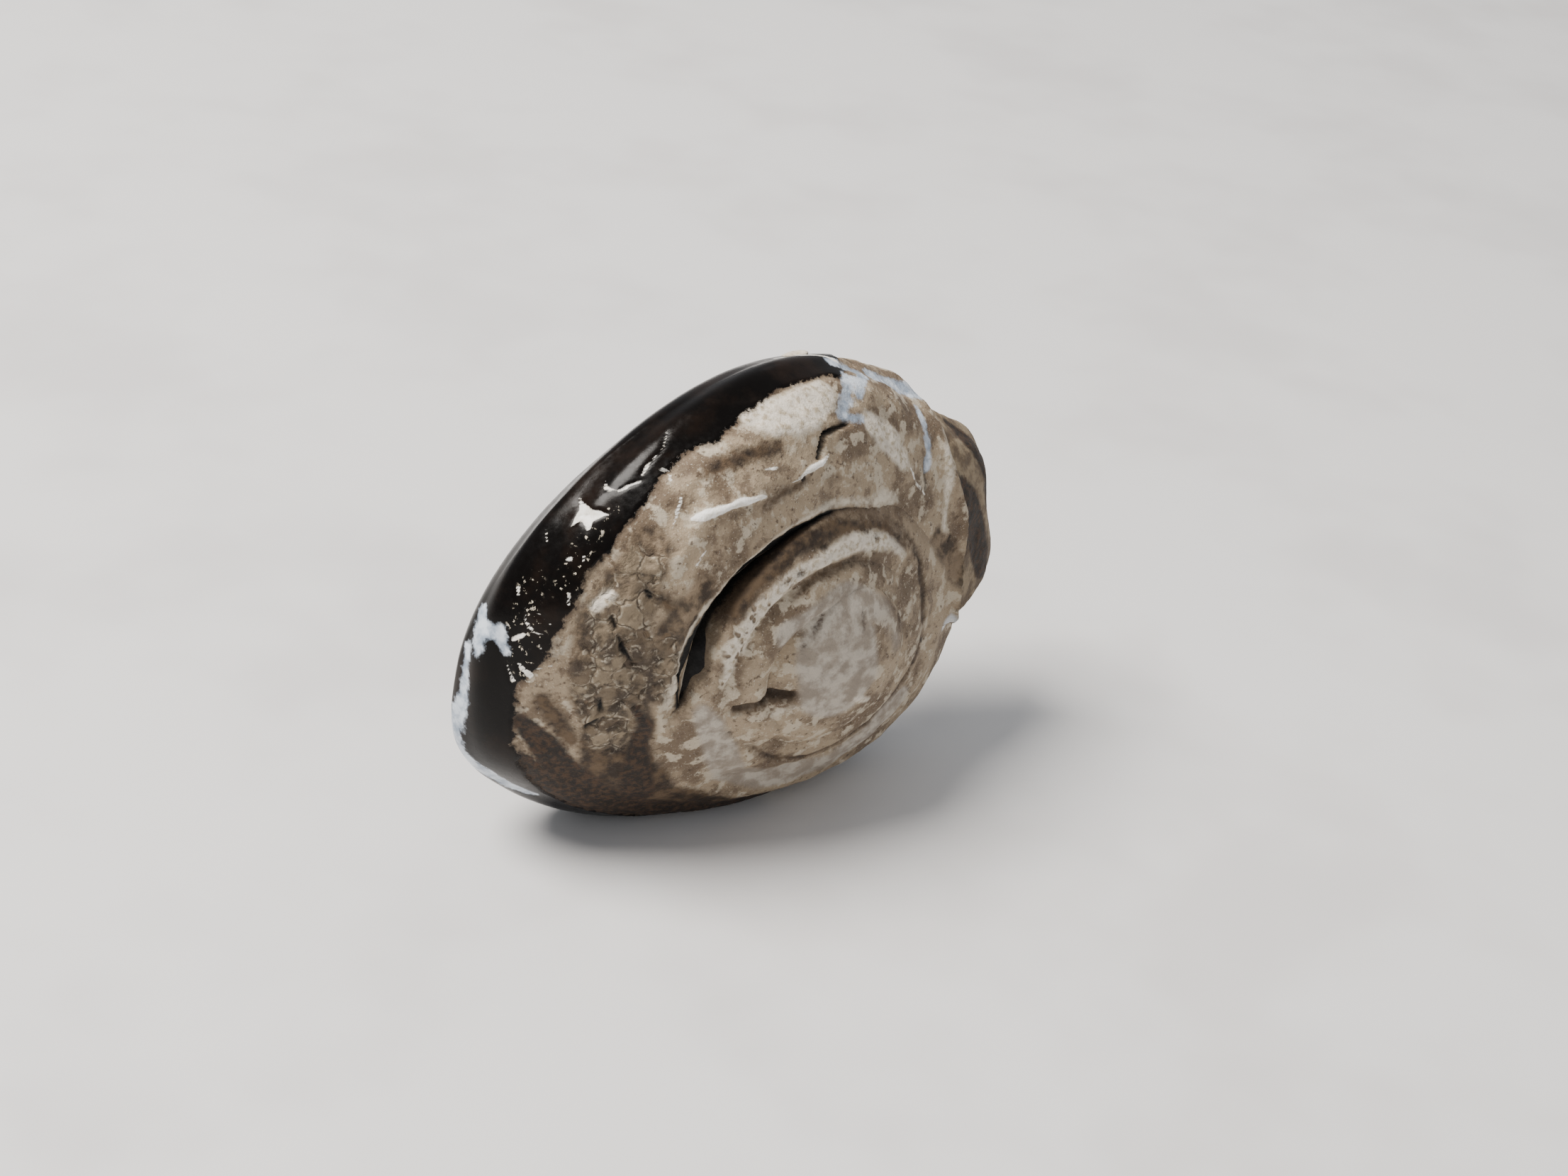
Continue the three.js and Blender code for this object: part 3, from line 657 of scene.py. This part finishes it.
# One mesh from the patches, kept inside the solid's box and above the table.
boxMargin = 0.004  # mm
verts, faces, values = [], [], {kind: [] for kind in kinds}
first = 0
low = np.array(cadLow) / mm + boxMargin
high = np.array(cadHigh) / mm - boxMargin
for grid, fields in patches:
    rows, columns = grid.shape[:2]
    index = first + np.arange(rows * columns).reshape(rows, columns)
    quads = np.stack([index[:-1, :-1], index[1:, :-1], index[1:, 1:], index[:-1, 1:]], -1).reshape(-1, 4)
    verts.append(np.clip(grid.reshape(-1, 3), low, high))
    faces.append(quads)
    for kind in kinds:
        values[kind].append(fields[kind].reshape(-1))
    first += rows * columns
allVerts = np.concatenate(verts) * mm
allFaces = np.concatenate(faces)
mesh = bpy.data.meshes.new("shell")
mesh.vertices.add(len(allVerts))
mesh.vertices.foreach_set("co", allVerts.astype(np.float32).ravel())
mesh.loops.add(allFaces.size)
mesh.loops.foreach_set("vertex_index", allFaces.astype(np.int32).ravel())
mesh.polygons.add(len(allFaces))
mesh.polygons.foreach_set("loop_start", np.arange(0, allFaces.size, 4, dtype=np.int32))
mesh.polygons.foreach_set("use_smooth", np.ones(len(allFaces), dtype=bool))
mesh.update(calc_edges=True)
mesh.validate()
for kind in kinds:
    layerOf = mesh.attributes.new(kind, "FLOAT", "POINT")
    layerOf.data.foreach_set("value", np.concatenate(values[kind]).astype(np.float32))
shell = bpy.data.objects.new("shellLook", mesh)
bpy.context.collection.objects.link(shell)
print("shell mesh", len(allFaces) * 2, "triangles")


def colour(code):
    parts = [int(code[i:i + 2], 16) / 255 for i in (1, 3, 5)]
    return tuple(p / 12.92 if p <= 0.04045 else ((p + 0.055) / 1.055) ** 2.4 for p in parts) + (1.0,)


def add(tree, kind, settings, inputs):
    made = tree.nodes.new(kind)
    for name, value in settings.items():
        setattr(made, name, value)
    for key, value in inputs.items():
        if isinstance(value, bpy.types.NodeSocket):
            tree.links.new(value, made.inputs[key])
        else:
            made.inputs[key].default_value = value
    return made


def started(name):
    material = bpy.data.materials.new(name)
    material.use_nodes = True
    tree = material.node_tree
    tree.nodes.clear()
    return material, tree


# Worn shell lime: chalky, dull and mottled where weather has eaten it, with the glossy black-brown
# outer layer left round the edge, thin bluish lime where that layer has just worn through, painted shade
# in the hollows, cracks and seams, and some painted glints.
material, tree = started("wornShellLime")
place = add(tree, "ShaderNodeTexCoord", {}, {}).outputs["Object"]
grains = {"mottle": (3.2, 6), "patchy": (1.1, 5), "speck": (0.35, 4), "dust": (0.1, 3)}  # mm, layers
mottle, patchy, speck, dust = (
    add(tree, "ShaderNodeTexNoise", {}, {"Vector": place, "Scale": 1 / (size * mm), "Detail": detail,
                                         "Roughness": 0.6}).outputs[0]
    for size, detail in grains.values())
wornAndShaded = {kind: add(tree, "ShaderNodeAttribute", {"attribute_name": kind}, {}).outputs["Fac"]
        for kind in kinds}
broad = add(tree, "ShaderNodeMapRange", {}, {0: patchy, 1: 0.2, 2: 0.8, 3: -0.16, 4: 0.16}).outputs[0]
narrow = add(tree, "ShaderNodeMapRange", {}, {0: speck, 1: 0.2, 2: 0.8, 3: -0.14, 4: 0.14}).outputs[0]
ragged = add(tree, "ShaderNodeMath", {"operation": "ADD"}, {0: broad, 1: narrow}).outputs[0]

# Flakes and honeycomb are cells with stirred outlines.
flakeSize, combSize, stirSize = 1.25, 0.6, 1.1  # mm
stir = add(tree, "ShaderNodeTexNoise", {},
           {"Vector": place, "Scale": 1 / (stirSize * mm), "Detail": 2}).outputs[1]
stirred = add(tree, "ShaderNodeVectorMath", {"operation": "MULTIPLY_ADD"},
              {0: stir, 1: (stirSize * mm,) * 3, 2: place}).outputs[0]
flakeEdge = add(tree, "ShaderNodeTexVoronoi", {"feature": "DISTANCE_TO_EDGE"},
                {"Vector": stirred, "Scale": 1 / (flakeSize * mm)}).outputs["Distance"]
flakeCell = add(tree, "ShaderNodeTexVoronoi", {"feature": "F1"},
                {"Vector": stirred, "Scale": 1 / (flakeSize * mm)}).outputs["Color"]
honeycomb = add(tree, "ShaderNodeTexVoronoi", {"feature": "F1"},
                {"Vector": stirred, "Scale": 1 / (combSize * mm)}).outputs["Distance"]


# The product of several masks. A mask is ready, or is a value with the range that it eases over
# and the two ends that it eases between.
def shareOf(*masks):
    share = None
    for mask in masks:
        if isinstance(mask, tuple):
            value, low, high, *ends = mask
            toLow, toHigh = ends or (0.0, 1.0)
            mask = add(tree, "ShaderNodeMapRange", {"interpolation_type": "SMOOTHSTEP"},
                       {0: value, 1: low, 2: high, 3: toLow, 4: toHigh}).outputs[0]
        if share is not None:
            mask = add(tree, "ShaderNodeMath", {"operation": "MULTIPLY"}, {0: share, 1: mask}).outputs[0]
        share = mask
    return share


# One tone laid over another where the masks let it.
def coat(under, over, *masks):
    tones = [colour(tone) if isinstance(tone, str) else tone for tone in (under, over)]
    return add(tree, "ShaderNodeMix", {"data_type": "RGBA"},
               {0: shareOf(*masks), 6: tones[0], 7: tones[1]}).outputs[2]


# A mark's share of the surface, with a ragged edge.
def covers(kind, soft, loose=1.0):
    edge = add(tree, "ShaderNodeMath", {"operation": "MULTIPLY_ADD"},
               {0: ragged, 1: loose, 2: wornAndShaded[kind]}).outputs[0]
    return shareOf((edge, 0.5 - soft, 0.5 + soft))


chalk = coat("#6a5a48", "#998871", (mottle, 0.42, 0.56))
chalk = coat(chalk, "#b8ac98", (patchy, 0.52, 0.6, 0.0, 0.85))
chalk = coat(chalk, "#5c4c3d", (patchy, 0.34, 0.43, 0.65, 0.0))
chalk = coat(chalk, "#4a3c30", (speck, 0.58, 0.68, 0.0, 0.75))
chalk = coat(chalk, "#d6cec0", (dust, 0.60, 0.72, 0.0, 0.5))
# Darker grey-brown where the taupe marks lie.
chalk = coat(chalk, coat("#2f241a", "#75634e", (patchy, 0.4, 0.62)), (wornAndShaded["taupe"], 0.15, 0.75, 0.0, 0.9))
chalk = coat(chalk, coat("#2a1f15", "#5c4a36", (patchy, 0.38, 0.62)), covers("brown", 0.35, 1.6))
flakes = covers("flaky", 0.3, 1.4)
chalk = coat(chalk, coat("#433425", "#95866f", flakeCell), flakes, (patchy, 0.35, 0.55, 0.1, 0.75))
lightRim = shareOf((flakeEdge, 0.01, 0.06), (flakeEdge, 0.06, 0.2, 1.0, 0.0))
chalk = coat(chalk, "#cbc0ac", flakes, lightRim, (speck, 0.46, 0.62, 0.0, 0.5))
chalk = coat(chalk, "#281d13", flakes, (flakeEdge, 0.0, 0.06, 1.0, 0.0), (patchy, 0.52, 0.6, 0.0, 0.8))
chalk = coat(chalk, coat("#8b8175", "#b0a89c", (patchy, 0.4, 0.6)), (wornAndShaded["grey"], 0.3, 0.8, 0.0, 0.85))
chalk = coat(chalk, coat("#d3cabb", "#a4967f", (speck, 0.42, 0.68)), covers("cream", 0.2, 1.3))
combed = covers("pitted", 0.2)
chalk = coat(chalk, "#65533e", combed, (honeycomb, 0.24, 0.42, 0.9, 0.0))
chalk = coat(chalk, coat("#5a4b3a", "#87775f", (patchy, 0.4, 0.6)), (wornAndShaded["strip"], 0.3, 0.8, 0.0, 0.9))
chalk = coat(chalk, "#cfc5b3", covers("bright", 0.15, 0.9))
# Painted shade along the seam between whorls.
chalk = coat(chalk, "#4a3725", (wornAndShaded["seamShade"], 0.2, 0.75, 0.0, 0.85))
chalk = coat(chalk, coat("#1a120b", "#443223", (speck, 0.4, 0.65)), covers("stain", 0.2, 1.2))
bandEdge = add(tree, "ShaderNodeMath", {"operation": "MULTIPLY_ADD"},
               {0: ragged, 1: 0.75, 2: wornAndShaded["band"]}).outputs[0]
chalk = coat(chalk, "#3a2c20", (bandEdge, 0.3, 0.5, 0.0, 0.75))
bandShare = shareOf((bandEdge, 0.46, 0.52))
tone = coat(chalk, coat("#050302", "#170f0a", (mottle, 0.42, 0.66)), bandShare)
tone = coat(tone, "#b9b09f", covers("flecks", 0.25), (speck, 0.60, 0.65))
blueShare = covers("blue", 0.16, 1.4)
tone = coat(tone, coat("#8b97a6", "#cdd5de", (patchy, 0.36, 0.62)), blueShare)
# White marks: bare lime and scraped ridges, and painted glints on the glossy black layer.
tone = coat(tone, coat("#fbf9f4", "#ddd7ca", (speck, 0.35, 0.7)), covers("white", 0.04, 0.45))
# Painted shade in the hollows, darker the deeper the surface sinks.
tone = coat(tone, "#33271d", (wornAndShaded["hollow"], 0.25, 1.0, 0.0, 0.55))
# Near-black painted shade in the deep cracks and pits, the open gap, under the pale seam edge and on the
# buried whorl.
tone = coat(tone, "#030201", covers("dark", 0.1, 0.4))
tone = coat(tone, coat("#d9d6cf", "#b9bcc0", (mottle, 0.4, 0.6)), (wornAndShaded["nacre"], 0.4, 0.7))

# Dull chalk, glossy black layer, and a soft shine on the bluish lime and the nacre.
uneven = add(tree, "ShaderNodeMapRange", {}, {0: speck, 1: 0.3, 2: 0.7, 3: -0.05, 4: 0.1}).outputs[0]
gloss = add(tree, "ShaderNodeMath", {"operation": "ADD"},
            {0: shareOf((bandShare, 0.0, 1.0, 0.75, 0.2)), 1: uneven}).outputs[0]
for shiny in ((blueShare, 0.0, 1.0, 1.0, 0.4), (wornAndShaded["nacre"], 0.3, 0.8, 1.0, 0.3)):
    gloss = add(tree, "ShaderNodeMath", {"operation": "MINIMUM"}, {0: gloss, 1: shareOf(shiny)}).outputs[0]

# Fine relief: grain on the chalk, sunk honeycomb, raised flakes, and the step up to the black layer.
bumps = add(tree, "ShaderNodeMath", {"operation": "MULTIPLY"}, {0: patchy, 1: 0.6}).outputs[0]
for part, height in ((speck, 0.4), (dust, 0.12), (shareOf(combed, (honeycomb, 0.15, 0.45, 0.6, 0.0)), -1.0),
                     (shareOf(flakes, (flakeEdge, 0.0, 0.1, 0.0, 0.35)), 1.0)):
    bumps = add(tree, "ShaderNodeMath", {"operation": "MULTIPLY_ADD"},
                {0: part, 1: height, 2: bumps}).outputs[0]
bumps = shareOf(bumps, (bandShare, 0.0, 1.0, 1.0, 0.06))
bumps = add(tree, "ShaderNodeMath", {"operation": "MULTIPLY_ADD"},
            {0: bandShare, 1: 0.5, 2: bumps}).outputs[0]
bump = add(tree, "ShaderNodeBump", {}, {"Strength": 0.75, "Distance": 0.25 * mm, "Height": bumps})
surface = add(tree, "ShaderNodeBsdfPrincipled", {}, {
    "Base Color": tone, "Roughness": gloss, "IOR": 1.52, "Normal": bump.outputs[0],
    "Specular IOR Level": shareOf((bandShare, 0.0, 1.0, 0.4, 0.12))})
add(tree, "ShaderNodeOutputMaterial", {}, {"Surface": surface.outputs[0]})
mesh.materials.append(material)
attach(shell, "root")
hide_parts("shell")
print("shell dressed")

# Painted board: matt, pale grey, with faint clouds in the paint.
board = {"cloud": 22, "halfWidth": 0.9}  # clouds in mm, the board's half width in metres
material, tree = started("paleBoard")
place = add(tree, "ShaderNodeTexCoord", {}, {}).outputs["Object"]
cloud = add(tree, "ShaderNodeTexNoise", {}, {
    "Vector": place, "Scale": 1 / (board["cloud"] * mm), "Detail": 3, "Roughness": 0.6}).outputs[0]
surface = add(tree, "ShaderNodeBsdfPrincipled", {}, {
    "Base Color": coat("#dcdbda", "#d2d0cf", (cloud, 0.42, 0.68)), "Roughness": 0.6, "IOR": 1.45})
add(tree, "ShaderNodeOutputMaterial", {}, {"Surface": surface.outputs[0]})
floorMesh = bpy.data.meshes.new("floor")
far = board["halfWidth"]
floorMesh.from_pydata([(-far, -far, 0), (far, -far, 0), (far, far, 0), (-far, far, 0)], [], [(0, 1, 2, 3)])
floor = bpy.data.objects.new("floor", floorMesh)
floorMesh.materials.append(material)
bpy.context.collection.objects.link(floor)

# Soft window light from high on the left, a little in front, and a pale room all round.
room = {"tint": "#e6e8ec", "strength": 0.62}
window = {"place": (-0.24, -0.06, 0.42), "size": 0.26, "power": 5.4, "tint": "#fffaf4"}  # metres, watts
world = bpy.data.worlds.new("room")
bpy.context.scene.world = world
world.use_nodes = True
world.node_tree.nodes.clear()
sky = add(world.node_tree, "ShaderNodeBackground", {},
          {"Color": colour(room["tint"]), "Strength": room["strength"]})
add(world.node_tree, "ShaderNodeOutputWorld", {}, {"Surface": sky.outputs[0]})
light = bpy.data.lights.new("window", "AREA")
light.shape = "DISK"
light.size = window["size"]
light.energy = window["power"]
light.color = colour(window["tint"])[:3]
lamp = bpy.data.objects.new("window", light)
bpy.context.collection.objects.link(lamp)
lamp.location = window["place"]
lamp.rotation_euler = (-lamp.location).to_track_quat("-Z", "Y").to_euler()

# The camera looks at the coil's origin from the front, above and a little rolled. Distance in mm.
view = {
    "elevation": math.radians(34), "roll": math.radians(8), "distance": 139.1, "sensor": 36, "lens": 59.2,
    "shift": (-0.0288, 0.0684), "clipStart": 0.005,
}
camera = bpy.data.cameras.new("camera")
camera.sensor_width = view["sensor"]
camera.lens = view["lens"]
camera.shift_x, camera.shift_y = view["shift"]
camera.clip_start = view["clipStart"]
camera.dof.use_dof = False
eye = bpy.data.objects.new("camera", camera)
bpy.context.collection.objects.link(eye)
eye.location = (shift[0] * mm, (shift[1] - view["distance"] * math.cos(view["elevation"])) * mm,
                (coil["tableDrop"] + view["distance"] * math.sin(view["elevation"])) * mm)
eye.rotation_mode = "ZXY"
eye.rotation_euler = (math.pi / 2 - view["elevation"], 0, view["roll"])
bpy.context.scene.camera = eye
print("camera and light set")
